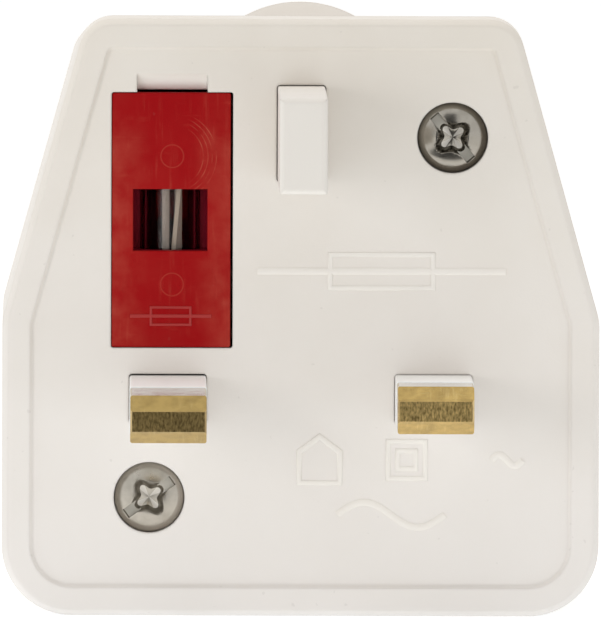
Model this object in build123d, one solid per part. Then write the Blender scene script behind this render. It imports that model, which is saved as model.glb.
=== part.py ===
from build123d import *
import os
from math import atan, cos, degrees, hypot, radians, sqrt, tan

# Fused travel adapter: three flat British pins in front, a shuttered two-hole round-pin socket behind.
# X is to the right seen from the pins, Z is up, and depth runs along Y from the pin face into the body.

# Housing
house_width = 50.0
house_height = 50.0
shoulder_height = 24.8  # the upright sides lean inwards above this height
side_lean = 15.6  # degrees
bottom_corner = 5.9
shoulder_corner = 4.0
top_corner = 2.9
least_corner = 0.3
wall = 2.0
cover_fall = 2.0  # the top of the rear cover falls by this much towards its back
rim_width = 2.6
rim_edge = 0.5
rim_slope = 0.25
face_step = 0.35
face_thickness = 2.6
parting_depth = 7.0
parting_bevel = 0.2
rear_edge = 2.4
tab_length = 1.4
tab_thickness = 1.0
tab_width = 8.0
fit_gap = 0.1

# Rounded ridge on the top of the rear cover
ridge_crown = 9.5
ridge_foot = 3.0
ridge_height = 1.52
ridge_front = 20.0
ridge_back = 33.0
ridge_slope = 1.2

# Pins
pin_spread = 22.23
pin_width = 6.35
pin_thickness = 3.97
pin_length = 17.7
pin_corner = 0.2
pin_tip_drop = 1.27
pin_tip_length = 2.0
sleeve_length = 9.5
sleeve_wall = 0.75
earth_rise = 22.23
earth_drop = 9.57  # from the top of the housing to the middle of the earth pin
earth_width = 3.97
earth_thickness = 7.95
earth_length = 22.7
earth_tip_bevel = 0.45
slot_gap = 0.08
flange_margin = 1.0
flange_thickness = 2.0
flange_fence = 1.0

# Fuse and its carrier
carrier_across = -10.8
carrier_drop = 16.85
carrier_width = 9.8
carrier_margin = 0.66  # from each end of the fuse to the end of the carrier
carrier_gap = 0.19
carrier_end_gap = 0.05
carrier_shift = -0.15  # the carrier sits a little to the left in its opening
carrier_sink = 0.1
carrier_thickness = 1.3
carrier_corner = 0.2
carrier_bevel = 0.06
cheek_wall = 1.8
cheek_reach = 1.7
window_width = 6.2
window_height = 5.15
notch_width = 5.9
notch_rise = 1.35
notch_depth = 1.3
notch_slit = 0.18  # between the foot of the ramp and the opening
guide_wall = 1.2
fuse_length = 20.0
fuse_cap_radius = 2.6
fuse_cap_length = 5.2
fuse_cap_end = 0.4
fuse_cap_fit = 0.02
fuse_tube_radius = 2.45
fuse_tube_wall = 0.45
fuse_strip_width = 0.6
fuse_strip_thickness = 0.2
fuse_strip_spread = 1.05
fuse_wire_width = 0.35
fuse_wire_lean = 4.9
fuse_gap = 0.12

# Brass strips and clips
strip_thickness = 0.6
strip_bend = 0.9
strap_width = 5.6
clip_length = 4.2
clip_flare = 0.7
tenon_width = 3.0
tenon_height = 1.6
tenon_head_margin = 0.6
tenon_head_thickness = 0.8
link_space = 2.4  # air between the fuse clip and the live contact
strap_gap = 0.8  # air between a bend of the neutral strap and the spread ends near it

# Socket for a flat two-pin plug with round pins
socket_spread = 19.0
socket_hole_radius = 2.6
plug_pin_length = 19.0
plug_width = 36.3
plug_height = 14.7
plug_flat = 26.0
plug_end_radius = 4.5
plug_corner = 2.5
recess_depth = 5.5
recess_wall = 1.8
socket_floor = 2.0
contact_radius = 3.2
contact_bore = 2.45
contact_flange = 7.2
contact_flange_thickness = 0.8
contact_floor = 0.4
pin_end_room = 0.6
contact_slit = 0.7
contact_root = 2.2
holder_wall = 1.1
holder_plate = 1.8
holder_width = 39.0
holder_height = 13.0
hook_width = 6.0
hook_thickness = 1.4
hook_nose = 0.9
hook_nose_length = 2.4

# Shutter and spring
shutter_width = 28.0
shutter_thickness = 4.4
shutter_cover = 0.5  # overlap of the shutter below each hole
shutter_head = 1.6  # height of the shutter above each hole
shutter_land = 0.4
shutter_bridge = 1.7
shutter_travel = 6.0
shutter_gap = 0.2
rail_width = 1.0
pocket_width = 5.2
pocket_side = 1.4
spring_length = 12.5
spring_reach = 1.7
spring_strip = 0.25
spring_width = 3.2
spring_waves = 3
seat_thickness = 1.4
seat_width = 6.0

# Screws
screw_across = 12.65
screw_drop = 9.9
screw_below_pin = 8.3
screw_head_radius = 2.85
screw_head_height = 2.0
screw_radius = 1.45
screw_length = 14.0
screw_sink = 0.15
screw_slot = 0.85
screw_slot_depth = 0.8
screw_gap = 0.12
screw_upper_turn = -50.0
screw_lower_turn = 36.0
boss_wall = 1.2
boss_seat = 1.6
post_width = 6.4
rib_width = 1.6

# Depths behind the pin face, in order
face_back = face_step + face_thickness
flange_back = face_back + flange_thickness
strap_back = flange_back + strip_thickness
carrier_front = face_step + carrier_sink
carrier_back = carrier_front + carrier_thickness
fuse_depth = carrier_back + fuse_gap + fuse_cap_radius
web_front = fuse_depth + fuse_cap_radius + fit_gap
web_back = web_front + strip_thickness
link_front = web_back + link_space + tenon_head_thickness
link_back = link_front + strip_thickness
contact_front = link_back + contact_flange_thickness
bore_bottom = contact_front + contact_floor
recess_floor = bore_bottom + pin_end_room + plug_pin_length
body_depth = recess_floor + recess_depth
floor_front = recess_floor - socket_floor
shutter_back = floor_front - shutter_gap
shutter_front = shutter_back - shutter_thickness
holder_back = shutter_front - shutter_gap
holder_front = holder_back - holder_plate
contact_back = holder_front - fit_gap
rear_inside = body_depth - wall
screw_seat = face_step + screw_sink + screw_head_height
boss_back = screw_seat + boss_seat

# Heights and places worked out from the same values
earth_height = house_height - earth_drop
pin_height = earth_height - earth_rise
carrier_height = house_height - carrier_drop
carrier_length = fuse_length + 2 * carrier_margin
bend_room = tenon_head_margin + strip_bend + strap_gap
socket_height = pin_height + tenon_height + 2 * bend_room + strip_thickness
pin_places = {"live": -pin_spread / 2, "neutral": pin_spread / 2}
contact_places = {"live": -socket_spread / 2, "neutral": socket_spread / 2}
flange_height = pin_thickness + 2 * flange_margin
flange_width = pin_width + 2 * flange_margin
shutter_bottom = socket_height - socket_hole_radius - shutter_cover
shutter_top = socket_height + socket_hole_radius + shutter_head
pocket_floor = shutter_bottom + shutter_bridge
spring_seat = pocket_floor + spring_length
shutter_middle = (shutter_front + shutter_back) / 2
tab_places = [
    (0, 0, 0),
    (180, 0, house_height),
    (90, -house_width / 2, shoulder_height / 2),
    (-90, house_width / 2, shoulder_height / 2),
]
screw_places = [
    (screw_across, house_height - screw_drop, screw_upper_turn),
    (-screw_across, pin_height - screw_below_pin, screw_lower_turn),
]


def at_depth(depth):
    return Plane.XZ.offset(-depth)


def prism(outline, front, back):
    return extrude(at_depth(front) * outline, amount=front - back)


def disc(across, height, radius, front, back):
    return prism(Pos(across, height) * Circle(radius), front, back)


def block(across, height, width, tall, front, back):
    return prism(Pos(across, height) * Rectangle(width, tall), front, back)


def house_outline(inset=0.0, above=0.0):
    # Square foot, upright sides to the shoulder, then sides that lean in to a narrower top.
    # With a height above it, the lean runs on past the top to a sharp edge.
    lean = tan(radians(side_lean))
    slant = 1 / cos(radians(side_lean))
    side = house_width / 2 - inset
    shoulder = shoulder_height - inset * (slant - 1) / lean
    top = house_height - inset + above
    top_side = house_width / 2 - (top - shoulder_height) * lean - inset * slant
    right = [(side, inset), (side, shoulder), (top_side, top)]
    left = [(-across, height) for across, height in reversed(right)]
    radii = [max(radius - inset, least_corner) for radius in (bottom_corner, shoulder_corner, top_corner)]
    if above:
        radii[-1] = 0
    return make_face(FilletPolyline(*right, *left, radius=radii + radii[::-1], close=True))


def cover_form(inset, back):
    # The outline drawn back from the parting line, with a top that falls towards the back.
    top = house_height - inset
    fall = cover_fall * (back - parting_depth) / (body_depth - parting_depth)
    form = prism(house_outline(inset, wall), parting_depth, back)
    above = Plane.YZ * Polygon(
        (parting_depth, top),
        (back, top - fall),
        (back, top + 2 * wall),
        (parting_depth, top + 2 * wall),
        align=None,
    )
    form -= extrude(above, amount=house_width, both=True)
    lengthwise = form.edges().filter_by(lambda edge: abs(edge.tangent_at(0.5).Y) > 0.9)
    return fillet(lengthwise.sort_by(Axis.Z)[-2:], max(top_corner - inset, least_corner))


def edges_at(shape, depth):
    return [edge for edge in shape.edges() if abs(edge.center().Y - depth) < 1e-4]


def pin_slot(across, height, width, tall):
    slot = RectangleRounded(width + 2 * slot_gap, tall + 2 * slot_gap, pin_corner + slot_gap)
    return Pos(across, height) * slot


def fence(across, height, width, tall):
    inner = Rectangle(width + 2 * fit_gap, tall + 2 * fit_gap)
    outer = Rectangle(width + 2 * (fit_gap + flange_fence), tall + 2 * (fit_gap + flange_fence))
    return prism(Pos(across, height) * (outer - inner), face_back, flange_back - fit_gap)


def make_base_plate():
    body = prism(house_outline(), 0, parting_depth)
    body = chamfer(edges_at(body, 0), rim_edge)
    body = chamfer(edges_at(body, parting_depth), parting_bevel)
    sunk = at_depth(0) * house_outline(rim_width - rim_slope)
    body -= extrude(sunk, amount=-face_step, taper=degrees(atan(rim_slope / face_step)))
    body -= prism(house_outline(wall), face_back, parting_depth)
    for across in pin_places.values():
        body += fence(across, pin_height, flange_width, flange_height)
    body += fence(0, earth_height, earth_width + 2 * flange_margin, earth_thickness + 2 * flange_margin)
    for across, height, _ in screw_places:
        boss = 2 * (screw_head_radius + screw_gap + boss_wall)
        body += block(across, height, boss, boss, face_back, boss_back)

    opening_width = carrier_width + 2 * carrier_gap
    opening_length = carrier_length + 2 * carrier_end_gap
    guide_span = opening_width + 2 * guide_wall
    guide_back = parting_depth - tab_length - 2 * fit_gap
    body += block(carrier_across, carrier_height, guide_span, opening_length, face_back, guide_back)
    opening = RectangleRounded(opening_width, opening_length, carrier_corner)
    body -= prism(Pos(carrier_across, carrier_height) * opening, face_step, guide_back)
    body -= make_notch(carrier_height + opening_length / 2)

    for across in pin_places.values():
        body -= prism(pin_slot(across, pin_height, pin_width, pin_thickness), face_step, face_back)
    body -= prism(pin_slot(0, earth_height, earth_width, earth_thickness), face_step, face_back)
    for across, height, _ in screw_places:
        body -= disc(across, height, screw_head_radius + screw_gap, face_step, screw_seat)
        body -= disc(across, height, screw_radius + screw_gap, screw_seat, boss_back)
    return body


def make_notch(foot):
    # A ramp that runs down to a slit along the upper edge of the fuse carrier, for a screwdriver tip.
    ramp = Plane.YZ * Polygon(
        (face_step, foot + notch_slit + notch_rise),
        (face_step, foot),
        (face_back, foot),
        (face_back, foot + notch_slit),
        (face_step + notch_depth, foot + notch_slit),
        align=None,
    )
    return Pos(carrier_across, 0) * extrude(ramp, amount=notch_width / 2, both=True)


def plug_outline():
    # Long hexagon of a flat two-pin plug.
    reach, rise, flat = plug_width / 2, plug_height / 2, plug_flat / 2
    points = [(reach, 0), (flat, rise), (-flat, rise), (-reach, 0), (-flat, -rise), (flat, -rise)]
    radii = [plug_end_radius, plug_corner, plug_corner, plug_end_radius, plug_corner, plug_corner]
    return Pos(0, socket_height) * make_face(FilletPolyline(*points, radius=radii, close=True))


def make_rear_cover():
    outer = cover_form(0, body_depth)
    outer = chamfer(edges_at(outer, body_depth), rear_edge)
    body = outer + make_ridge() - cover_form(wall, rear_inside)
    for way, across, height in tab_places:
        body += Pos(across, 0, height) * Rot(0, way, 0) * make_tab()
    socket_width = plug_width + 2 * recess_wall
    socket_tall = plug_height + 2 * recess_wall
    body += block(0, socket_height, socket_width, socket_tall, floor_front, rear_inside)
    body -= prism(plug_outline(), recess_floor, body_depth)

    body += make_earth_post()
    for across in pin_places.values():
        body += make_pin_rib(across)
    hole_back = screw_seat + screw_length + wall
    for across, height, _ in screw_places:
        body += block(across, height, post_width, post_width, boss_back, rear_inside)
        body -= disc(across, height, screw_radius + fit_gap / 2, boss_back, hole_back)
    hook = make_hook()
    body += hook + mirror(hook, about=Plane.YZ)
    body += make_shutter_guides()
    for across in contact_places.values():
        body -= disc(across, socket_height, socket_hole_radius, floor_front, recess_floor)
    return body


def ridge_outline():
    # A crown arc that runs out into the top of the cover through a hollow foot on each side.
    reach = ridge_crown + ridge_foot
    foot = sqrt(reach**2 - (reach - ridge_height) ** 2)
    share = ridge_crown / reach
    join = (foot * share, ridge_height - ridge_crown + (reach - ridge_height) * share)
    lean = hypot(foot - join[0], join[1]) / 2
    bow = ridge_foot - sqrt(ridge_foot**2 - lean**2)
    middle = ((foot + join[0]) / 2, join[1] / 2)
    hollow = (middle[0] - bow * join[1] / (2 * lean), middle[1] - bow * (foot - join[0]) / (2 * lean))
    right = ThreePointArc((foot, 0), hollow, join)
    crown = ThreePointArc(join, (0, ridge_height), (-join[0], join[1]))
    root = Polyline((-foot, 0), (-foot, -wall / 2), (foot, -wall / 2), (foot, 0))
    return make_face([right, crown, mirror(right, about=Plane.YZ), root])


def make_ridge():
    # Its ends slope, and it lies along the falling top of the cover.
    span = ridge_back - ridge_front
    ridge = extrude(Plane.XZ * ridge_outline(), amount=-span)
    side = Polygon(
        (0, -wall),
        (0, 0),
        (ridge_slope, ridge_height),
        (span - ridge_slope, ridge_height),
        (span, 0),
        (span, -wall),
        align=None,
    )
    ridge &= extrude(Plane.YZ * side, amount=house_width, both=True)
    slope = cover_fall / (body_depth - parting_depth)
    start = Pos(0, ridge_front, house_height - slope * (ridge_front - parting_depth))
    return start * Rot(-degrees(atan(slope)), 0, 0) * ridge


def make_tab():
    # A tab on the wall of the cover that slips inside the wall of the base plate and lines up the halves.
    inner = wall + fit_gap
    side = Plane.YZ * Polygon(
        (parting_depth - tab_length, inner),
        (parting_depth, inner),
        (parting_depth, wall / 2),
        (parting_depth + wall, wall / 2),
        (parting_depth + wall, inner + tab_thickness),
        (parting_depth - tab_length, inner + tab_thickness),
        align=None,
    )
    return extrude(side, amount=tab_width / 2, both=True)


def make_earth_post():
    width = earth_width + flange_margin
    return block(0, earth_height + flange_margin, width, rib_width, flange_back, rear_inside)


def make_pin_rib(across):
    # A rib on the floor of the cover that holds a brass pin and its strap against the base plate.
    top = pin_height - tenon_height / 2 - tenon_head_margin - fit_gap
    low = wall + fit_gap
    side = Plane.YZ * Polygon(
        (strap_back, low),
        (parting_depth, low),
        (parting_depth, wall / 2),
        (rear_inside, wall / 2),
        (rear_inside, low + wall),
        (parting_depth + wall, top),
        (strap_back, top),
        align=None,
    )
    return Pos(across, 0) * extrude(side, amount=rib_width / 2, both=True)


def make_hook():
    # A springy arm whose nose holds one end of the contact holder against the shutter rails.
    outer = holder_width / 2
    inner = outer - hook_thickness
    catch = holder_front - fit_gap
    arm = Polygon(
        (inner, rear_inside),
        (outer, rear_inside),
        (outer, catch - hook_nose_length),
        (inner, catch - hook_nose_length),
        (inner - hook_nose, catch - hook_nose),
        (inner - hook_nose, catch),
        (inner, catch),
        align=None,
    )
    return Pos(0, 0, socket_height) * extrude(arm, amount=hook_width / 2, both=True)


def make_shutter_guides():
    rail_across = shutter_width / 2 + shutter_gap + rail_width / 2
    rail_low = shutter_bottom - fit_gap - rail_width
    rail_tall = shutter_top - rail_low + shutter_travel / 2
    guides = block(0, rail_low + rail_width / 2, shutter_width, rail_width, shutter_front, recess_floor)
    for across in (-rail_across, rail_across):
        guides += block(across, rail_low + rail_tall / 2, rail_width, rail_tall, holder_back, recess_floor)
    seat = spring_seat + seat_thickness / 2
    return guides + block(0, seat, seat_width, seat_thickness, shutter_front, rear_inside)


def tenon(front, back):
    return prism(Rectangle(tenon_width, tenon_height), front, back)


def tenon_head(front):
    # The spread end of a brass piece that was set through a strip.
    head = Rectangle(tenon_width + 2 * tenon_head_margin, tenon_height + 2 * tenon_head_margin)
    return prism(head, front, front + tenon_head_thickness)


def tip_side(half, drop, run, length, root):
    # Side outline of a pin from its root to a tip that narrows over the last stretch.
    upper = [(root, half), (run - length, half), (-length, half - drop)]
    lower = [(along, -height) for along, height in reversed(upper)]
    return Polygon(*upper, *lower, align=None)


def make_brass_pin(across):
    core = Rectangle(pin_width - 2 * sleeve_wall, pin_thickness - 2 * sleeve_wall)
    pin = prism(RectangleRounded(pin_width, pin_thickness, pin_corner), -pin_length, -sleeve_length)
    side = tip_side(pin_thickness / 2, pin_tip_drop, pin_tip_length, pin_length, -sleeve_length)
    pin &= extrude(Plane.YZ * side, amount=pin_width, both=True)
    pin += prism(core, -sleeve_length, face_back)
    pin += prism(Rectangle(flange_width, flange_height), face_back, flange_back)
    pin += tenon(flange_back, strap_back) + tenon_head(strap_back)
    return Pos(across, 0, pin_height) * pin


def make_sleeve(across):
    outline = RectangleRounded(pin_width, pin_thickness, pin_corner)
    outline -= Rectangle(pin_width - 2 * sleeve_wall, pin_thickness - 2 * sleeve_wall)
    return prism(Pos(across, pin_height) * outline, -sleeve_length, face_back)


def make_earth_pin():
    pin = prism(RectangleRounded(earth_width, earth_thickness, pin_corner), -earth_length, face_back)
    for plane, half in ((Plane.YZ, earth_thickness / 2), (Plane.YX, earth_width / 2)):
        side = tip_side(half, earth_tip_bevel, earth_tip_bevel, earth_length, face_back)
        pin &= extrude(plane * side, amount=earth_thickness, both=True)
    flange = Rectangle(earth_width + 2 * flange_margin, earth_thickness + 2 * flange_margin)
    pin += prism(flange, face_back, flange_back)
    return Pos(0, 0, earth_height) * pin


def make_fuse_carrier():
    across = carrier_across + carrier_shift
    outline = RectangleRounded(carrier_width, carrier_length, carrier_corner)
    plate = prism(outline, carrier_front, carrier_back)
    plate = chamfer(edges_at(plate, carrier_front), carrier_bevel)
    cheek_tall = fuse_length - 2 * fuse_cap_length - 4 * fit_gap
    cheek_span = 2 * (fuse_tube_radius + cheek_wall)
    cheek_back = fuse_depth + cheek_reach
    body = plate + block(0, 0, cheek_span, cheek_tall, carrier_back, cheek_back)
    body -= Pos(0, fuse_depth, 0) * Cylinder(fuse_tube_radius + fit_gap / 2, carrier_length)
    body += plate
    body -= block(0, 0, window_width, window_height, carrier_front, fuse_depth)
    return Pos(across, 0, carrier_height) * body


def fuse_place():
    return Pos(carrier_across + carrier_shift, fuse_depth, carrier_height)


def make_fuse_tube():
    tube = Circle(fuse_tube_radius) - Circle(fuse_tube_radius - fuse_tube_wall)
    return fuse_place() * extrude(tube, amount=fuse_length / 2 - fuse_cap_end, both=True)


def make_fuse_cap(way):
    cup = Cylinder(fuse_cap_radius, fuse_cap_length)
    hollow = Cylinder(fuse_tube_radius + fuse_cap_fit, fuse_cap_length)
    cup -= Pos(0, 0, -way * fuse_cap_end) * hollow
    return fuse_place() * Pos(0, 0, way * (fuse_length - fuse_cap_length) / 2) * cup


def make_fuse_wire():
    # Two flat strips from cap to cap and a wire that leans across in front of them.
    length = fuse_length - 2 * fuse_cap_end
    half_spread = fuse_strip_spread / 2
    strip = Box(fuse_strip_width, fuse_strip_thickness, length)
    wire = Rot(0, fuse_wire_lean, 0) * Box(fuse_wire_width, fuse_wire_width, length - 2 * fuse_wire_width)
    wire = Pos(half_spread - fuse_wire_width / 2, -fuse_wire_width / 2, 0) * wire
    return fuse_place() * (Pos(-half_spread, 0, 0) * strip + Pos(half_spread, 0, 0) * strip + wire)


def bent_strip(points, across, width):
    # A strip of sheet brass bent along a route of (depth, height) points.
    route = FilletPolyline(*[(across, depth, height) for depth, height in points], radius=strip_bend)
    start = Plane(route @ 0, x_dir=(1, 0, 0), z_dir=route % 0)
    return sweep(start * Rectangle(width, strip_thickness), path=route)


def spring_clip(height):
    # A fork that grips a fuse cap from both sides, open towards the pins.
    reach = fuse_cap_radius + fit_gap + strip_thickness / 2
    web = web_front + strip_thickness / 2
    mouth = fuse_depth - fuse_cap_radius / 2
    right = [(reach + clip_flare, mouth - clip_flare), (reach, mouth), (reach, web)]
    left = [(-side, depth) for side, depth in reversed(right)]
    route = FilletPolyline(*right, *left, radius=[0, strip_thickness, strip_thickness, 0])
    start = Plane(route @ 0, x_dir=(0, 0, 1), z_dir=route % 0)
    fork = sweep(start * Rectangle(clip_length, strip_thickness), path=route, transition=Transition.RIGHT)
    return Pos(carrier_across + carrier_shift, 0, height) * fork


def cap_middle(way):
    return carrier_height + way * (fuse_length - fuse_cap_length) / 2


def make_live_pin_clip():
    strap_middle = flange_back + strip_thickness / 2
    web_middle = web_front + strip_thickness / 2
    step = carrier_height - carrier_length / 2
    route = [
        (strap_middle, pin_height - flange_height / 2),
        (strap_middle, step),
        (web_middle, step),
        (web_middle, cap_middle(-1)),
    ]
    clip = bent_strip(route, pin_places["live"], strap_width)
    clip += spring_clip(cap_middle(-1))
    return clip - Pos(pin_places["live"], 0, pin_height) * tenon(flange_back, strap_back)


def make_live_link():
    web_middle = web_front + strip_thickness / 2
    link_middle = link_front + strip_thickness / 2
    step = carrier_height - strip_bend
    route = [
        (web_middle, cap_middle(1)),
        (web_middle, step),
        (link_middle, step),
        (link_middle, socket_height - contact_flange / 2),
    ]
    across = contact_places["live"]
    link = bent_strip(route, across, strap_width)
    link += spring_clip(cap_middle(1))
    return link - Pos(across, 0, socket_height) * tenon(link_front, link_back)


def make_neutral_strap():
    strap_middle = flange_back + strip_thickness / 2
    link_middle = link_front + strip_thickness / 2
    step = (pin_height + socket_height) / 2
    route = [
        (strap_middle, pin_height - flange_height / 2),
        (strap_middle, step),
        (link_middle, step),
        (link_middle, socket_height + contact_flange / 2),
    ]
    pin, contact = pin_places["neutral"], contact_places["neutral"]
    strap = bent_strip(route, (pin + contact) / 2, strap_width + pin - contact)
    strap -= Pos(pin, 0, pin_height) * tenon(flange_back, strap_back)
    return strap - Pos(contact, 0, socket_height) * tenon(link_front, link_back)


def make_contact(across):
    contact = tenon_head(link_front - tenon_head_thickness) + tenon(link_front, link_back)
    contact += block(0, 0, contact_flange, contact_flange, link_back, contact_front)
    contact += disc(0, 0, contact_radius, contact_front, contact_back)
    contact -= disc(0, 0, contact_bore, bore_bottom, contact_back)
    slit_front = contact_front + contact_root
    contact -= block(0, 0, 3 * contact_radius, contact_slit, slit_front, contact_back)
    return Pos(across, 0, socket_height) * contact


def make_contact_holder():
    body = block(0, socket_height, holder_width, holder_height, holder_front, holder_back)
    pocket = 2 * (contact_radius + fit_gap)
    shell = pocket + 2 * holder_wall
    for across in contact_places.values():
        body += block(across, socket_height, shell, shell, contact_front, holder_front)
        body -= block(across, socket_height, pocket, pocket, contact_front, holder_front)
        body -= disc(across, socket_height, socket_hole_radius, holder_front, holder_back)
        # A notch at each end lets a hook of the cover pass.
        end = holder_width / 2 * (-1 if across < 0 else 1)
        gap = 2 * (hook_thickness + fit_gap)
        body -= block(end, socket_height, gap, hook_width + 2 * fit_gap, holder_front, holder_back)
    return body


def make_shutter():
    tall = shutter_top - shutter_bottom
    middle = (shutter_top + shutter_bottom) / 2
    body = block(0, middle, shutter_width, tall, shutter_front, shutter_back)
    # Ramps on both wings, which the plug's pins push aside.
    ramp = Plane.YZ * Polygon(
        (shutter_front + shutter_land, shutter_bottom),
        (shutter_back, shutter_bottom),
        (shutter_back, socket_height + socket_hole_radius),
        align=None,
    )
    centre = pocket_width / 2 + pocket_side
    wing = shutter_width / 2 - centre
    for side in (-1, 1):
        body -= Pos(side * (centre + wing / 2), 0) * extrude(ramp, amount=wing / 2, both=True)
    pocket = shutter_top - pocket_floor
    return body - block(0, pocket_floor + pocket / 2, pocket_width, pocket, shutter_front, shutter_back)


def make_spring():
    # A folded strip of spring steel, upright in the pocket of the shutter.
    half_strip = spring_strip / 2
    low = pocket_floor + half_strip
    pitch = (spring_length - spring_strip) / (2 * spring_waves)
    side = [(-1) ** index * spring_reach for index in range(2 * spring_waves + 1)]
    turns = [(across, low + pitch * index) for index, across in enumerate(side)]
    ends = [(-turns[0][0], low), (-turns[-1][0], low + pitch * 2 * spring_waves)]
    folds = [(across, shutter_middle, height) for across, height in [ends[0], *turns, ends[1]]]
    route = Polyline(*folds)
    start = Plane(route @ 0, x_dir=(0, 1, 0), z_dir=route % 0)
    return sweep(start * Rectangle(spring_width, spring_strip), path=route, transition=Transition.RIGHT)


def make_screws():
    head = disc(0, 0, screw_head_radius, -screw_head_height, 0)
    slot_back = screw_slot_depth - screw_head_height
    head -= block(0, 0, 2 * screw_head_radius, screw_slot, -screw_head_height, slot_back)
    screw = head + disc(0, 0, screw_radius, 0, screw_length)
    return [
        Pos(across, screw_seat, height) * Rot(0, -turn, 0) * screw
        for across, height, turn in screw_places
    ]


parts = {
    "base_plate": make_base_plate(),
    "rear_cover": make_rear_cover(),
    "earth_pin": make_earth_pin(),
    "live_pin": make_brass_pin(pin_places["live"]),
    "neutral_pin": make_brass_pin(pin_places["neutral"]),
    "live_pin_sleeve": make_sleeve(pin_places["live"]),
    "neutral_pin_sleeve": make_sleeve(pin_places["neutral"]),
    "fuse_carrier": make_fuse_carrier(),
    "fuse_tube": make_fuse_tube(),
    "fuse_cap_upper": make_fuse_cap(1),
    "fuse_cap_lower": make_fuse_cap(-1),
    "fuse_wire": make_fuse_wire(),
    "live_pin_clip": make_live_pin_clip(),
    "live_link": make_live_link(),
    "neutral_strap": make_neutral_strap(),
    "live_contact": make_contact(contact_places["live"]),
    "neutral_contact": make_contact(contact_places["neutral"]),
    "contact_holder": make_contact_holder(),
    "shutter": make_shutter(),
    "shutter_spring": make_spring(),
    "housing_screws": Compound(children=make_screws()),
}

# The origin is the middle of the foot, so the model moves forward by half the body's depth.
os.makedirs("parts", exist_ok=True)
for node, shape in parts.items():
    export_step(Pos(0, -body_depth / 2, 0) * shape, f"parts/{node}.step")
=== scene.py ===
import bmesh
import bpy
import math
from mathutils import Matrix, Vector


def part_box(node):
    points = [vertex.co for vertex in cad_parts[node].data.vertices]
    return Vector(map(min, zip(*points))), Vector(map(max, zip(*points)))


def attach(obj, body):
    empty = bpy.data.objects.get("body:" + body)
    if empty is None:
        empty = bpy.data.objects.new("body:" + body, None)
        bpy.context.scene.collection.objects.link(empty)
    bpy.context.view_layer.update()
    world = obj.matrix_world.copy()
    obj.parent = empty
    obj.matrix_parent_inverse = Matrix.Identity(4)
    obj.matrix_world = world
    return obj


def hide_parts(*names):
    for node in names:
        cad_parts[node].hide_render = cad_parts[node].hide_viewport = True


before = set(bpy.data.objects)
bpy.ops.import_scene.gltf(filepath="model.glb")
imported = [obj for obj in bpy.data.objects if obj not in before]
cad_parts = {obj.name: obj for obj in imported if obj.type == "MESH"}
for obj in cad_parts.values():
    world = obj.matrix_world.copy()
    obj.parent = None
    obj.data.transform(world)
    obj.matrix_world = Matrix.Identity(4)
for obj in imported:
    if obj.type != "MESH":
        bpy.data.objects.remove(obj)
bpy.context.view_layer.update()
scene = bpy.context.scene
scene.view_settings.view_transform = "Standard"
mm = 0.001
faceSink = 0.35
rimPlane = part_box("base_plate")[0].y
facePlane = rimPlane + faceSink * mm
pureWhite, pureBlack = (1, 1, 1, 1), (0, 0, 0, 1)
print("frame loaded:", len(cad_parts), "nodes")


def addObject(name, data):
    thing = bpy.data.objects.new(name, data)
    scene.collection.objects.link(thing)
    return thing


# camera, light and ground

photoCamera = {
    "distance": 2200.0, "azimuth": -0.5, "elevation": 3.1, "roll": 0.2,
    "aimX": -0.03, "aimZ": 25.65, "tall": 51.88, "sensor": 36.0,
}


def placeCamera():
    around, up = math.radians(photoCamera["azimuth"]), math.radians(photoCamera["elevation"])
    back = Vector((math.sin(around) * math.cos(up), -math.cos(around) * math.cos(up), math.sin(up)))
    aim = Vector((photoCamera["aimX"] * mm, facePlane, photoCamera["aimZ"] * mm))
    data = bpy.data.cameras.new("photoCamera")
    data.sensor_width = photoCamera["sensor"]
    data.lens = photoCamera["sensor"] * photoCamera["distance"] / photoCamera["tall"]
    camera = addObject("photoCamera", data)
    camera.location = aim + back * photoCamera["distance"] * mm
    turn = (-back).to_track_quat("-Z", "Y").to_matrix().to_4x4()
    camera.rotation_euler = (turn @ Matrix.Rotation(math.radians(photoCamera["roll"]), 4, "Z")).to_euler()
    scene.camera = camera


studio = {
    "ambient": 0.63, "ambientTint": (1.0, 0.98, 0.95, 1),
    "floorHalf": 3.0, "floorTone": (0.9, 0.9, 0.9, 1), "floorRoughness": 0.9,
    "floorGlow": 0.43, "floorTint": (0.86, 0.95, 1.0, 1),
    "keyLight": ((-0.36, -0.55, 0.03), 0.3, 0.8),
    "topLight": ((-0.06, 0.05, 0.5), 0.3, 0.9),
    "lampAim": (0, 0, 0.025),
    "cardDistance": 0.3, "cardWide": 0.055, "cardWideTop": 0.07, "cardHalf": 0.04,
    "cardTall": 0.2, "cardFoot": 0.08, "cardLift": 0.002, "cardTone": 0.05,
}


def mathNode(tree, operation, a, b=None):
    node = tree.nodes.new("ShaderNodeMath")
    node.operation = operation
    for socket, value in zip(node.inputs, (a, b)):
        if isinstance(value, (int, float)):
            socket.default_value = value
        elif value is not None:
            tree.links.new(value, socket)
    return node.outputs[0]


def blendColor(tree, share, first, second):
    node = tree.nodes.new("ShaderNodeMix")
    node.data_type = "RGBA"
    tree.links.new(share, node.inputs["Factor"])
    colorInputs = [socket for socket in node.inputs if socket.type == "RGBA"]
    for socket, value in zip(colorInputs, (first, second)):
        if isinstance(value, tuple):
            socket.default_value = value
        else:
            tree.links.new(value, socket)
    return next(socket for socket in node.outputs if socket.type == "RGBA")


def seenDirectly(tree):
    # 1 for what the lens, a shiny surface or glass sees, 0 for light that falls on the object
    path = tree.nodes.new("ShaderNodeLightPath")
    shown = mathNode(tree, "MAXIMUM", path.outputs["Is Camera Ray"], path.outputs["Is Glossy Ray"])
    return mathNode(tree, "MAXIMUM", shown, path.outputs["Is Transmission Ray"])


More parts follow.
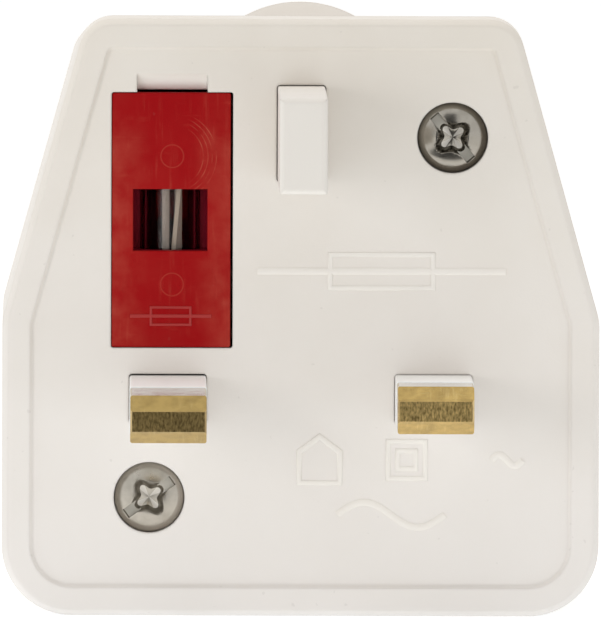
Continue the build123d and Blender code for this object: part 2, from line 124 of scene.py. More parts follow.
def makeWorld():
    world = bpy.data.worlds.new("whiteStudio")
    scene.world = world
    world.use_nodes = True
    tree = world.node_tree
    tree.nodes.clear()
    soft, white = tree.nodes.new("ShaderNodeBackground"), tree.nodes.new("ShaderNodeBackground")
    soft.inputs["Strength"].default_value = studio["ambient"]
    soft.inputs["Color"].default_value = studio["ambientTint"]
    white.inputs["Color"].default_value = pureWhite
    mix, out = tree.nodes.new("ShaderNodeMixShader"), tree.nodes.new("ShaderNodeOutputWorld")
    tree.links.new(seenDirectly(tree), mix.inputs[0])
    tree.links.new(soft.outputs[0], mix.inputs[1])
    tree.links.new(white.outputs[0], mix.inputs[2])
    tree.links.new(mix.outputs[0], out.inputs["Surface"])


def makeLamps():
    for name in ("keyLight", "topLight"):
        place, size, power = studio[name]
        data = bpy.data.lights.new(name, "AREA")
        data.shape, data.size, data.energy = "DISK", size, power
        lamp = addObject(name, data)
        lamp.location = place
        aim = Vector(studio["lampAim"]) - Vector(place)
        lamp.rotation_euler = aim.to_track_quat("-Z", "Y").to_euler()
        lamp.visible_camera = lamp.visible_glossy = False


def flatObject(name, faces):
    mesh = bpy.data.meshes.new(name)
    corners = [corner for face in faces for corner in face]
    starts = range(0, len(corners), 4)
    mesh.from_pydata(corners, [], [tuple(range(start, start + 4)) for start in starts])
    return addObject(name, mesh)


def makeStage():
    reach = studio["floorHalf"]
    corners = [(-reach, -reach, 0), (reach, -reach, 0), (reach, reach, 0), (-reach, reach, 0)]
    floor = flatObject("floor", [corners])
    material = bpy.data.materials.new("paleFloor")
    material.use_nodes = True
    tree = material.node_tree
    shader = tree.nodes["Principled BSDF"]
    shader.inputs["Base Color"].default_value = studio["floorTone"]
    shader.inputs["Roughness"].default_value = studio["floorRoughness"]
    glow = blendColor(tree, seenDirectly(tree), studio["floorTint"], pureWhite)
    tree.links.new(glow, shader.inputs["Emission Color"])
    shader.inputs["Emission Strength"].default_value = studio["floorGlow"]
    floor.data.materials.append(material)

    # a dark card round the lens that only shiny surfaces see, wide below, narrow above and along the floor
    far, wide, half = studio["cardDistance"], studio["cardWide"], studio["cardHalf"]
    step, tall, foot, lift = (studio[label] for label in ("cardWideTop", "cardTall", "cardFoot", "cardLift"))
    broad = [(-wide, -far, 0), (wide, -far, 0), (wide, -far, step), (-wide, -far, step)]
    narrow = [(-half, -far, step), (half, -far, step), (half, -far, tall), (-half, -far, tall)]
    lying = [(-half, -far, lift), (half, -far, lift), (half, -foot, lift), (-half, -foot, lift)]
    card = flatObject("darkCard", [broad, narrow, lying])
    tone = bpy.data.materials.new("cardTone")
    tone.use_nodes = True
    shader = tone.node_tree.nodes["Principled BSDF"]
    shader.inputs["Base Color"].default_value = pureBlack
    shader.inputs["Emission Color"].default_value = pureWhite
    shader.inputs["Emission Strength"].default_value = studio["cardTone"]
    card.data.materials.append(tone)
    card.visible_camera = card.visible_diffuse = card.visible_shadow = card.visible_transmission = False


placeCamera()
makeWorld()
makeLamps()
makeStage()
print("camera and studio ready")

# shared surface effects


def startGroup(name, inputs, outputs):
    group = bpy.data.node_groups.new(name, "ShaderNodeTree")
    for label, kind, value in inputs:
        group.interface.new_socket(label, in_out="INPUT", socket_type=kind).default_value = value
    for label, kind in outputs:
        group.interface.new_socket(label, in_out="OUTPUT", socket_type=kind)
    return group, group.nodes.new("NodeGroupInput"), group.nodes.new("NodeGroupOutput")


def objectNoise(tree, scale, detail, stretch=(1, 1, 1)):
    spot = tree.nodes.new("ShaderNodeTexCoord")
    shape = tree.nodes.new("ShaderNodeMapping")
    shape.inputs["Scale"].default_value = stretch
    noise = tree.nodes.new("ShaderNodeTexNoise")
    noise.inputs["Detail"].default_value = detail
    if isinstance(scale, (int, float)):
        noise.inputs["Scale"].default_value = scale
    else:
        tree.links.new(scale, noise.inputs["Scale"])
    tree.links.new(spot.outputs["Object"], shape.inputs["Vector"])
    tree.links.new(shape.outputs["Vector"], noise.inputs["Vector"])
    return noise.outputs["Fac"]


def ramp(tree, value, low, high, fromValue=0.0, toValue=1.0):
    node = tree.nodes.new("ShaderNodeMapRange")
    for label, setting in (("From Min", low), ("From Max", high), ("To Min", fromValue), ("To Max", toValue)):
        if isinstance(setting, (int, float)):
            node.inputs[label].default_value = setting
        else:
            tree.links.new(setting, node.inputs[label])
    tree.links.new(value, node.inputs["Value"])
    return node.outputs["Result"]


def noiseRamp(tree, look, name, detail, *more):
    # noise of the scale that a look gives, spread over the range that it gives
    return ramp(tree, objectNoise(tree, look[name + "Scale"], detail), *look[name + "Range"], *more)


def splitParts(tree, kind, label):
    source, parts = tree.nodes.new(kind), tree.nodes.new("ShaderNodeSeparateXYZ")
    tree.links.new(source.outputs[label], parts.inputs[0])
    return parts.outputs


def spotParts(tree):
    return splitParts(tree, "ShaderNodeTexCoord", "Object")


def facingParts(tree):
    return splitParts(tree, "ShaderNodeNewGeometry", "True Normal")


def within(tree, value, low, high, soft):
    # 1 between two limits, fading to 0 outside them
    return mathNode(
        tree, "MULTIPLY", ramp(tree, value, low - soft, low), ramp(tree, value, high, high + soft, 1.0, 0.0))


skinLook = {
    "cloudScale": 140, "cloudRange": (0.35, 0.7), "dustScale": 1500, "dustRange": (0.76, 0.8),
    "dustTone": (0.25, 0.22, 0.19, 1), "grainScale": 5200,
    "wornScale": 420, "wornRange": (0.3, 0.7, -0.05, 0.07), "bump": (0.25, 0.00003),
}


def makeMouldedSkin():
    # satin skin of a moulded piece: cloudy tone, fine grain, a few dust specks
    look = skinLook
    group, given, out = startGroup(
        "mouldedSkin",
        [("Tint", "NodeSocketColor", (0.8, 0.8, 0.8, 1)), ("Shade", "NodeSocketColor", (0.7, 0.7, 0.7, 1)),
         ("Cloud", "NodeSocketFloat", 0.5), ("Specks", "NodeSocketFloat", 0.3),
         ("Roughness", "NodeSocketFloat", 0.45)],
        [("Color", "NodeSocketColor"), ("Roughness", "NodeSocketFloat"), ("Height", "NodeSocketFloat")])
    cloud = mathNode(group, "MULTIPLY", noiseRamp(group, look, "cloud", 3), given.outputs["Cloud"])
    base = blendColor(group, cloud, given.outputs["Tint"], given.outputs["Shade"])
    dust = mathNode(group, "MULTIPLY", noiseRamp(group, look, "dust", 1), given.outputs["Specks"])
    color = blendColor(group, dust, base, look["dustTone"])
    grain = objectNoise(group, look["grainScale"], 2)
    rough = mathNode(group, "ADD", given.outputs["Roughness"], noiseRamp(group, look, "worn", 3))
    for label, value in (("Color", color), ("Roughness", rough), ("Height", grain)):
        group.links.new(value, out.inputs[label])
    return group


def makeRingMark():
    # a thin ring round a point of the front, in millimetres
    group, given, out = startGroup(
        "ringMark",
        [("Across", "NodeSocketFloat", 0.0), ("Up", "NodeSocketFloat", 0.0),
         ("Radius", "NodeSocketFloat", 1.0), ("Width", "NodeSocketFloat", 0.1)],
        [("Mask", "NodeSocketFloat"), ("Side", "NodeSocketFloat"), ("Distance", "NodeSocketFloat")])
    parts = spotParts(group)
    wide = mathNode(group, "MULTIPLY", parts["X"], 1 / mm)
    tall = mathNode(group, "MULTIPLY", parts["Z"], 1 / mm)
    across = mathNode(group, "SUBTRACT", wide, given.outputs["Across"])
    up = mathNode(group, "SUBTRACT", tall, given.outputs["Up"])
    squares = [mathNode(group, "MULTIPLY", side, side) for side in (across, up)]
    far = mathNode(group, "SQRT", mathNode(group, "ADD", *squares))
    off = mathNode(group, "ABSOLUTE", mathNode(group, "SUBTRACT", far, given.outputs["Radius"]))
    mask = ramp(group, off, 0.0, given.outputs["Width"], 1.0, 0.0)
    for label, value in (("Mask", mask), ("Side", across), ("Distance", far)):
        group.links.new(value, out.inputs[label])
    return group


scratchLook = {
    "uprightStretch": (4.0, 0.4, 0.35), "uprightRange": (0.55, 0.72),
    "lyingStretch": (0.5, 0.4, 3.0), "lyingRange": (0.6, 0.74), "lyingShare": 0.7,
    "cloudScale": 500, "cloudRange": (0.35, 0.65),
}


def makeScratches():
    # fine hairlines in two directions, broken up by a coarse cloud
    look = scratchLook
    group, given, out = startGroup(
        "fineScratches",
        [("Scale", "NodeSocketFloat", 900.0), ("Amount", "NodeSocketFloat", 0.6)],
        [("Mask", "NodeSocketFloat")])
    scale = given.outputs["Scale"]
    upright = ramp(group, objectNoise(group, scale, 3, look["uprightStretch"]), *look["uprightRange"])
    lying = ramp(group, objectNoise(group, scale, 3, look["lyingStretch"]), *look["lyingRange"])
    cloud = noiseRamp(group, look, "cloud", 2)
    both = mathNode(group, "MAXIMUM", upright, mathNode(group, "MULTIPLY", lying, look["lyingShare"]))
    mask = mathNode(group, "MULTIPLY", mathNode(group, "MULTIPLY", both, cloud), given.outputs["Amount"])
    group.links.new(mask, out.inputs["Mask"])
    return group


mouldedSkin, ringMark, fineScratches = makeMouldedSkin(), makeRingMark(), makeScratches()
print("shared effects ready")

# finishes


def startMaterial(name, **sockets):
    material = bpy.data.materials.new(name)
    material.use_nodes = True
    shader = material.node_tree.nodes["Principled BSDF"]
    for label, value in sockets.items():
        shader.inputs[label.replace("_", " ")].default_value = value
    return material, material.node_tree, shader


def paint(tree, shader, color, rough=None):
    for value, label in ((color, "Base Color"), (rough, "Roughness")):
        if value is not None:
            tree.links.new(value, shader.inputs[label])


def useGroup(tree, group, **values):
    node = tree.nodes.new("ShaderNodeGroup")
    node.node_tree = group
    for label, value in values.items():
        node.inputs[label].default_value = value
    return node


edgeSamples = 6


def bumpInto(tree, shader, height, strength, distance, roundEdge=0.0):
    bump = tree.nodes.new("ShaderNodeBump")
    bump.inputs["Strength"].default_value = strength
    bump.inputs["Distance"].default_value = distance
    tree.links.new(height, bump.inputs["Height"])
    if roundEdge:
        edge = tree.nodes.new("ShaderNodeBevel")
        edge.samples = edgeSamples
        edge.inputs["Radius"].default_value = roundEdge
        tree.links.new(edge.outputs["Normal"], bump.inputs["Normal"])
    tree.links.new(bump.outputs["Normal"], shader.inputs["Normal"])


def mouldedPlastic(name, tint, shade, cloud, specks, roughness, roundEdge=0.0, gloss=0.5):
    material, tree, shader = startMaterial(name, Specular_IOR_Level=gloss)
    skin = useGroup(
        tree, mouldedSkin, Tint=tint, Shade=shade, Cloud=cloud, Specks=specks, Roughness=roughness)
    paint(tree, shader, skin.outputs["Color"], skin.outputs["Roughness"])
    bumpInto(tree, shader, skin.outputs["Height"], *skinLook["bump"], roundEdge)
    return material, tree, shader, skin


carrierRed = {
    "tint": (0.325, 0.0022, 0.0045, 1), "shade": (0.29, 0.0016, 0.0035, 1), "haze": (0.47, 0.078, 0.05, 1),
    "skin": {"cloud": 0.55, "specks": 0.05, "roughness": 0.5, "roundEdge": 0.0001, "gloss": 0.07},
    "rings": [(-10.8, 38.5, 0.95, 0.09), (-10.8, 27.75, 0.95, 0.09)], "ringShare": 0.45,
    "swirl": (-10.8, 38.5, (2.6, 3.0, 3.35, 3.7), 0.07), "swirlSide": (1.2, 2.4),
    "breakScale": 700, "breakRange": (0.4, 0.62), "markShare": 0.8,
    "scratches": {"Scale": 520.0, "Amount": 0.4}, "hazeScale": 620, "hazeRange": (0.3, 0.72, 0.15, 1.0),
    "edgeRange": (1.8, 4.9, 0.08, 0.6), "clearTop": (39.5, 42.5), "clearShare": (1.0, 0.2),
    # colour, depth and fade of the shade painted in the channel inside the window
    "inside": (0.24, 0.008, 0.022, 1), "insideDepth": 0.3, "insideFade": 0.3,
    "windowHalf": (3.2, 2.7), "windowFade": 0.1, "grainShare": 0.25, "bump": (0.55, 0.00004, 0.0001),
}


def redPlastic():
    look = carrierRed
    material, tree, shader, skin = mouldedPlastic("redCarrier", look["tint"], look["shade"], **look["skin"])
    marks = None
    for across, up, radius, width in look["rings"]:
        ring = useGroup(tree, ringMark, Across=across, Up=up, Radius=radius, Width=width).outputs["Mask"]
        marks = ring if marks is None else mathNode(tree, "MAXIMUM", marks, ring)
    marks = mathNode(tree, "MULTIPLY", marks, look["ringShare"])
    across, up, radii, width = look["swirl"]
    broken = noiseRamp(tree, look, "break", 2)
    for radius in radii:
        ring = useGroup(tree, ringMark, Across=across, Up=up, Radius=radius, Width=width)
        rightSide = ramp(tree, ring.outputs["Side"], *look["swirlSide"])
        part = mathNode(tree, "MULTIPLY", ring.outputs["Mask"], rightSide)
        marks = mathNode(tree, "MAXIMUM", marks, mathNode(tree, "MULTIPLY", part, broken))
    lines = useGroup(tree, fineScratches, **look["scratches"]).outputs["Mask"]
    haze = noiseRamp(tree, look, "haze", 6)
    edge = ramp(tree, mathNode(tree, "ABSOLUTE", ring.outputs["Side"]), *look["edgeRange"])
    parts = spotParts(tree)
    clear = ramp(tree, parts["Z"], *(limit * mm for limit in look["clearTop"]), *look["clearShare"])
    edge = mathNode(tree, "MULTIPLY", edge, clear)
    streak = mathNode(tree, "MULTIPLY", lines, haze)
    pale = mathNode(tree, "MAXIMUM", mathNode(tree, "MULTIPLY", marks, look["markShare"]), streak)
    pale = mathNode(tree, "ADD", pale, mathNode(tree, "MULTIPLY", haze, edge))
    color = blendColor(tree, pale, skin.outputs["Color"], look["haze"])
    # painted shade: the channel inside the window is painted dark where it lies deep
    low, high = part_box("fuse_carrier")
    middle, (wide, tall) = (low + high) / 2, look["windowHalf"]
    deep = low.y + look["insideDepth"] * mm
    paintedWindowShade = ramp(tree, parts["Y"], deep, deep + look["insideFade"] * mm)
    for label, centre, half in (("X", middle.x, wide * mm), ("Z", middle.z, tall * mm)):
        inside = within(tree, parts[label], centre - half, centre + half, look["windowFade"] * mm)
        paintedWindowShade = mathNode(tree, "MULTIPLY", paintedWindowShade, inside)
    paint(tree, shader, blendColor(tree, paintedWindowShade, color, look["inside"]))
    grain = mathNode(tree, "MULTIPLY", skin.outputs["Height"], look["grainShare"])
    bumpInto(tree, shader, mathNode(tree, "ADD", grain, marks), *look["bump"])
    return material


brassLook = {
    "scratches": {"Scale": 1100.0, "Amount": 0.9}, "scratchTone": (0.78, 0.62, 0.3, 1), "scratchShare": 0.35,
    "stainScale": 900, "stainRange": (0.38, 0.68, 0.0), "stainRough": 0.12, "bump": (0.35, 0.00003),
}


def wornBrass(name, base, dark, tarnish, roughness):
    look = brassLook
    material, tree, shader = startMaterial(name, Metallic=1.0)
    lines = useGroup(tree, fineScratches, **look["scratches"]).outputs["Mask"]
    stain = noiseRamp(tree, look, "stain", 4, tarnish)
    color = blendColor(tree, stain, base, dark)
    scratched = mathNode(tree, "MULTIPLY", lines, look["scratchShare"])
    color = blendColor(tree, scratched, color, look["scratchTone"])
    rough = mathNode(tree, "ADD", mathNode(tree, "MULTIPLY", stain, look["stainRough"]), roughness)
    paint(tree, shader, color, rough)
    bumpInto(tree, shader, lines, *look["bump"])
    return material, tree, shader, color, rough


bladeLook = {
    "brass": ((0.57, 0.40, 0.135, 1), (0.33, 0.22, 0.07, 1), 0.55, 0.12),
    "endDepth": 0.03, "endDark": (0.27, 0.19, 0.07, 1), "endLight": (0.90, 0.65, 0.26, 1),
    "grainScale": 3600, "grainStretch": (1.7, 1.0, 0.7), "grainRange": (0.3, 0.72), "grainRough": (0.3, 0.36),
    "topPaintedReflection": (0.95, 0.97, 0.98, 1), "topFacing": (0.93, 0.97),
    "leftDarker": 0.22, "leftEndDarker": 0.3, "darkerReach": 4, "darkerTone": (0.03, 0.02, 0.01, 1),
}


def bladeBrass():
    # the cut end of each blade is darker than its sides, with an upright grain
    look = bladeLook
    material, tree, shader, color, rough = wornBrass("pinBrass", *look["brass"])
    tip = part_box("live_pin")[0].y
    parts = spotParts(tree)
    ended = ramp(tree, parts["Y"], tip, tip + look["endDepth"] * mm, 1.0, 0.0)
    grain = ramp(tree, objectNoise(tree, look["grainScale"], 6, look["grainStretch"]), *look["grainRange"])
    cut = blendColor(tree, grain, look["endDark"], look["endLight"])
    # painted reflection: the upper side is painted pale, as the pale sleeve would look mirrored in it
    upward = ramp(tree, facingParts(tree)["Z"], *look["topFacing"])
    color = blendColor(tree, upward, color, look["topPaintedReflection"])
    worn = blendColor(tree, ended, color, cut)
    # the left blade is coloured darker than the right one, most of all at its end
    reach = look["darkerReach"] * mm
    darkening = ramp(tree, parts["X"], -reach, reach, look["leftDarker"], 0.0)
    endDarkening = ramp(tree, parts["X"], -reach, reach, look["leftEndDarker"], 0.0)
    darkening = mathNode(tree, "ADD", darkening, mathNode(tree, "MULTIPLY", ended, endDarkening))
    coarse = ramp(tree, grain, 0.0, 1.0, *look["grainRough"])
    rougher = mathNode(tree, "MULTIPLY", ended, mathNode(tree, "SUBTRACT", coarse, rough))
    color = blendColor(tree, darkening, worn, look["darkerTone"])
    paint(tree, shader, color, mathNode(tree, "ADD", rough, rougher))
    return material


platedLook = {
    "scratches": {"Scale": 1500.0, "Amount": 0.6}, "stainScale": 1100, "stainRange": (0.4, 0.72, 0.0, 0.6),
    "wornScale": 2200, "wornRange": (0.3, 0.7, -0.05, 0.08), "bump": (0.2, 0.00001),
}


def platedMetal(name, base, dark, roughness):
    look = platedLook
    material, tree, shader = startMaterial(name, Metallic=1.0)
    lines = useGroup(tree, fineScratches, **look["scratches"]).outputs["Mask"]
    color = blendColor(tree, noiseRamp(tree, look, "stain", 3), base, dark)
    paint(tree, shader, color, mathNode(tree, "ADD", noiseRamp(tree, look, "worn", 2), roughness))
    bumpInto(tree, shader, lines, *look["bump"])
    return material, tree, shader, color


screwFinish = {
    "bright": (0.46, 0.43, 0.375, 1), "dull": (0.33, 0.305, 0.26, 1), "upperDim": 0.2,
    # the well ring and the walls are painted shade, and the rim is a painted highlight
    "wellShade": (0.2, 0.18, 0.15, 1), "lowerWellShade": (0.57, 0.535, 0.48, 1),
    "wellShadeShift": (-0.16, 0.1), "wellShadeRange": (2.4, 2.7, 0.0, 0.85),
    "wall": (0.13, 0.12, 0.10, 1), "lowerWall": (0.27, 0.25, 0.215, 1),
    "rim": (0.68, 0.65, 0.6, 1), "rimDepth": (0.2, 0.45), "rimShare": (0.8, 0.0),
    "slot": (0.46, 0.44, 0.39, 1), "floor": (0.66, 0.63, 0.575, 1),
    "wallZone": (0.1, 0.4), "slotZone": (0.6, 0.7), "floorZone": (0.8, 0.95),
    "smooth": 0.16, "lowerSmooth": 0.3, "rough": 0.45, "wornScale": 900, "wornRange": (0.3, 0.7, -0.02, 0.03),
}
screwSpots = [(12.65, 40.1), (-12.65, 9.9)]


def stainedAndShadedNickel():
    # plated heads with dull recess floors, painted shade on the recess walls and painted shade in the well
    # round each head
    look = screwFinish
    material, tree, shader, color = platedMetal("screwNickel", look["bright"], look["dull"], look["smooth"])
    near = None
    aside, above = look["wellShadeShift"]
    for across, up in screwSpots:
        far = useGroup(tree, ringMark, Across=across + aside, Up=up + above).outputs["Distance"]
        near = far if near is None else mathNode(tree, "MINIMUM", near, far)
    parts = spotParts(tree)
    higher = ramp(tree, parts["Z"], screwSpots[1][1] * mm, screwSpots[0][1] * mm)
    # painted shade: the upper head is darkened all over
    color = blendColor(tree, ramp(tree, higher, 0.0, 1.0, 0.0, look["upperDim"]), color, pureBlack)
    # painted shade in the well round each head, set off so it is thicker to the lower right, and lighter
    # round the lower head
    wellShade = blendColor(tree, higher, look["lowerWellShade"], look["wellShade"])
    color = blendColor(tree, ramp(tree, near, *look["wellShadeRange"]), color, wellShade)
    zone = tree.nodes.new("ShaderNodeAttribute")
    zone.attribute_name = "zone"
    limits = [look[label] for label in ("wallZone", "slotZone", "floorZone")]
    cut, flat, deepest = (ramp(tree, zone.outputs["Fac"], *limit) for limit in limits)
    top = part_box("housing_screws")[0].y
    shallow = ramp(tree, parts["Y"], *(top + depth * mm for depth in look["rimDepth"]), *look["rimShare"])
    # painted shade on the recess walls, lighter in the lower head, with a painted highlight near their top
    # edge
    wall = blendColor(tree, higher, look["lowerWall"], look["wall"])
    color = blendColor(tree, cut, color, blendColor(tree, shallow, wall, look["rim"]))
    color = blendColor(tree, flat, color, look["slot"])
    color = blendColor(tree, deepest, color, look["floor"])
    smooth = ramp(tree, higher, 0.0, 1.0, look["lowerSmooth"], look["smooth"])
    worn = mathNode(tree, "ADD", noiseRamp(tree, look, "worn", 2), smooth)
    paint(tree, shader, color, ramp(tree, flat, 0.0, 1.0, worn, look["rough"]))
    return material


glassLook = {
    "bending": 1.25, "front": (0.95, 0.96, 0.95, 1), "behind": (0.21, 0.035, 0.05, 1), "fade": 0.3,
    "wornScale": 800, "wornRange": (0.4, 0.8, 0.0, 0.06),
}


def shadedGlass():
    # painted shade: clear in front and painted dark red in its back half
    look = glassLook
    material, tree, shader = startMaterial("fuseGlass", IOR=look["bending"], Transmission_Weight=1.0)
    low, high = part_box("fuse_tube")
    middle, fade = (low.y + high.y) / 2, look["fade"] * mm
    behind = ramp(tree, spotParts(tree)["Y"], middle - fade, middle + fade)
    glassShade = blendColor(tree, behind, look["front"], look["behind"])
    paint(tree, shader, glassShade, noiseRamp(tree, look, "worn", 3))
    return material


wireTones = {
    "strand": (0.36, 0.29, 0.235, 1), "left": (0.25, 0.2, 0.17, 1), "right": (0.15, 0.108, 0.085, 1),
    "side": (0.04, 0.025, 0.022, 1), "sideFacing": (0.4, 0.8), "stain": 0.7, "roughness": 0.34,
    "shift": 0.16, "middleFade": 0.02, "strandDepth": (0.24, 0.21),
}


def fuseMetal():
    # a bright leaning strand in front of a grey and a dimmer brown strip; the two strips stand in for painted
    # highlights on the glass
    look = wireTones
    stained = tuple(look["stain"] * tone for tone in look["left"])
    material, tree, shader, color = platedMetal("fuseMetal", look["left"], stained, look["roughness"])
    low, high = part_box("fuse_wire")
    parts = spotParts(tree)
    middle, fade = (low.x + high.x) / 2 + look["shift"] * mm, look["middleFade"] * mm
    dimStrip = ramp(tree, parts["X"], middle - fade, middle + fade)
    color = blendColor(tree, dimStrip, color, look["right"])
    front = ramp(tree, parts["Y"], *(high.y - depth * mm for depth in look["strandDepth"]), 1.0, 0.0)
    color = blendColor(tree, front, color, look["strand"])
    # painted shade: the sideways faces of the strips are painted near black
    sideways = ramp(tree, mathNode(tree, "ABSOLUTE", facingParts(tree)["X"]), *look["sideFacing"])
    paint(tree, shader, blendColor(tree, sideways, color, look["side"]))
    return material


ivory, ivoryShade = (0.80, 0.755, 0.70, 1), (0.77, 0.722, 0.66, 1)
housingLook = {
    "skin": {"cloud": 0.5, "specks": 0.12, "roughness": 0.5, "roundEdge": 0.00035},
    # the lighter, cooler bottom end of the tint and shade is painted light
    "tintEnds": ((0.825, 0.786, 0.757, 1), (0.79, 0.742, 0.678, 1)),
    "shadeEnds": ((0.80, 0.76, 0.725, 1), (0.745, 0.69, 0.612, 1)),
    "notchAcross": -10.8, "notchHalf": 2.97, "notchRise": 1.7, "notchFade": 0.02, "notchDepth": (0.02, 0.9),
    "notchTone": (1.0, 1.0, 0.94, 1),
}


def housingPlastic():
    # painted light: lighter and cooler towards the bottom, warmer towards the top, and a pry notch painted
    # lighter than the face round it
    look = housingLook
    material, tree, shader, skin = mouldedPlastic("housingWhite", ivory, ivoryShade, **look["skin"])
    parts, foot = spotParts(tree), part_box("fuse_carrier")[1].z
    low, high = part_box("base_plate")
    height = ramp(tree, parts["Z"], low.z, high.z)
    for label, ends in (("Tint", look["tintEnds"]), ("Shade", look["shadeEnds"])):
        tree.links.new(blendColor(tree, height, *ends), skin.inputs[label])
    left, right = ((look["notchAcross"] + side * look["notchHalf"]) * mm for side in (-1, 1))
    fade = look["notchFade"] * mm
    beside = within(tree, parts["X"], left, right, fade)
    above = within(tree, parts["Z"], foot, foot + look["notchRise"] * mm, fade)
    deep = ramp(tree, parts["Y"], *(facePlane + depth * mm for depth in look["notchDepth"]))
    paintedNotchLight = mathNode(tree, "MULTIPLY", mathNode(tree, "MULTIPLY", beside, above), deep)
    paint(tree, shader, blendColor(tree, paintedNotchLight, skin.outputs["Color"], look["notchTone"]))
    return material


sleeveLook = {
    "skin": ((0.93, 0.92, 0.905, 1), (0.91, 0.895, 0.875, 1), 0.4, 0.04, 0.45),
    "endPaintedLight": (0.92, 0.98, 1.0, 1), "endDepth": (0.02, 0.15),
}


def sleevePlastic():
    # white, with painted light on the cut end beside the brass, which is painted a cooler white
    look = sleeveLook
    material, tree, shader, skin = mouldedPlastic("sleeveWhite", *look["skin"])
    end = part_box("live_pin_sleeve")[0].y
    ended = ramp(tree, spotParts(tree)["Y"], *(end + depth * mm for depth in look["endDepth"]), 1.0, 0.0)
    paint(tree, shader, blendColor(tree, ended, skin.outputs["Color"], look["endPaintedLight"]))
    return material


# tint, shade, cloud, specks, roughness and, for two of them, the radius of the rounded edges
plainPlastics = {
    "signWhite": ((0.84, 0.80, 0.75, 1), (0.82, 0.775, 0.72, 1), 0.4, 0.04, 0.45),
    "coverWhite": (ivory, ivoryShade, 0.5, 0.12, 0.5, 0.0011),
    "pinWhite": ((0.77, 0.73, 0.68, 1), (0.75, 0.705, 0.65, 1), 0.4, 0.06, 0.45, 0.0002),
    "innerWhite": ((0.74, 0.71, 0.66, 1), (0.70, 0.66, 0.61, 1), 0.4, 0.1, 0.5),
    "carrierSignRed": ((0.39, 0.02, 0.016, 1), (0.34, 0.012, 0.011, 1), 0.6, 0.05, 0.42),
}
signWhite, coverWhite, pinWhite, innerWhite, carrierSignRed = (
    mouldedPlastic(name, *values)[0] for name, values in plainPlastics.items())
housingWhite, sleeveWhite, carrierFinish = housingPlastic(), sleevePlastic(), redPlastic()
pinBrass, screwNickel, fuseWireMetal, fuseGlass = bladeBrass(), stainedAndShadedNickel(), fuseMetal(), shadedGlass()
stripBrass = wornBrass("stripBrass", (0.6, 0.45, 0.19, 1), (0.42, 0.30, 0.13, 1), 0.3, 0.2)[0]
capNickel = platedMetal("capNickel", (0.74, 0.73, 0.71, 1), (0.5, 0.48, 0.45, 1), 0.22)[0]
springSteel = platedMetal("springSteel", (0.58, 0.58, 0.59, 1), (0.4, 0.4, 0.41, 1), 0.28)[0]

finishes = {
    "base_plate": housingWhite, "rear_cover": coverWhite, "earth_pin": pinWhite,
    "live_pin": pinBrass, "neutral_pin": pinBrass,
    "live_pin_sleeve": sleeveWhite, "neutral_pin_sleeve": sleeveWhite,
    "fuse_carrier": carrierFinish, "fuse_tube": fuseGlass, "fuse_wire": fuseWireMetal,
    "fuse_cap_upper": capNickel, "fuse_cap_lower": capNickel,
    "live_pin_clip": stripBrass, "live_link": stripBrass, "neutral_strap": stripBrass,
    "live_contact": stripBrass, "neutral_contact": stripBrass,
    "contact_holder": innerWhite, "shutter": innerWhite,
    "shutter_spring": springSteel, "housing_screws": screwNickel,
}
for node, finish in finishes.items():
    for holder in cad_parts[node].material_slots:
        holder.material = finish
print("finishes set on", len(finishes), "nodes")

# pieces


def newPiece(name, mesh, material, body, replaced=()):
    piece = addObject(name, mesh)
    mesh.materials.clear()
    mesh.materials.append(material)
    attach(piece, body)
    if replaced:
        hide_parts(*replaced)


def evaluatedMesh(thing):
    return bpy.data.meshes.new_from_object(thing.evaluated_get(bpy.context.evaluated_depsgraph_get()))


def intoMesh(work, mesh):
    work.to_mesh(mesh)
    work.free()
    return mesh


def smoothFaces(mesh, angle):
    for face in mesh.polygons:
        face.use_smooth = True
    mesh.set_sharp_from_angle(angle=math.radians(angle))


def cleaned(mesh, gap):
    # joins points nearer to each other than the gap and drops faces without area
    work = bmesh.new()
    work.from_mesh(mesh)
    bmesh.ops.remove_doubles(work, verts=work.verts, dist=gap)
    bmesh.ops.dissolve_degenerate(work, edges=work.edges, dist=gap)
    bmesh.ops.recalc_face_normals(work, faces=work.faces)
    intoMesh(work, mesh)


joining = {"gap": 1e-6, "flat": 0.5, "sharp": 30, "edgeSteps": 3}


def joinedCopy(node, dropNormals=False):
    # a solid's own mesh with its double points joined and its flat regions made whole
    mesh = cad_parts[node].data.copy()
    stale = mesh.attributes.get("custom_normal")
    if dropNormals and stale:
        mesh.attributes.remove(stale)
    work = bmesh.new()
    work.from_mesh(mesh)
    bmesh.ops.remove_doubles(work, verts=work.verts, dist=joining["gap"])
    flat = math.radians(joining["flat"])
    bmesh.ops.dissolve_limit(work, angle_limit=flat, verts=work.verts, edges=work.edges)
    return mesh, work


def roundEdges(work, edges, width, segments, clamped):
    bmesh.ops.bevel(
        work, geom=edges, offset=width, offset_type="OFFSET", segments=segments, profile=0.5, affect="EDGES",
        clamp_overlap=clamped)


def cutAcross(work, parts, place):
    bmesh.ops.bisect_plane(work, geom=parts, plane_co=(0, place, 0), plane_no=(0, 1, 0))


def softened(node, width, smoothAngle, chosen, cutAt=None):
    # a copy of a solid with some of its sharp edges rounded, and cut into two lengths where a place is given
    mesh, work = joinedCopy(node)
    least = math.radians(joining["sharp"])
    paired = [edge for edge in work.edges if len(edge.link_faces) == 2]
    sharp = [edge for edge in paired if edge.calc_face_angle(0) > least and chosen(edge)]
    if sharp:
        roundEdges(work, sharp, width, joining["edgeSteps"], True)
    if cutAt is not None:
        cutAcross(work, [*work.verts, *work.edges, *work.faces], cutAt)
    smoothFaces(intoMesh(work, mesh), smoothAngle)
    return mesh


softPins = {
    "live_pin": ("liveBlade", pinBrass, "pin_brass"),
    "neutral_pin": ("neutralBlade", pinBrass, "pin_brass"),
    "live_pin_sleeve": ("liveSleeve", sleeveWhite, "pin_plastic"),
    "neutral_pin_sleeve": ("neutralSleeve", sleeveWhite, "pin_plastic"),
}
pinShape = {
    "droop": 2.9, "tipRun": 1.3, "flatSpread": 0.11, "cornerIn": 0.16, "cornerRun": 0.4, "bladeSmooth": 20,
    "sleeveSwell": 0.035, "sleeveEdge": 0.1, "sleeveSmooth": 38,
}


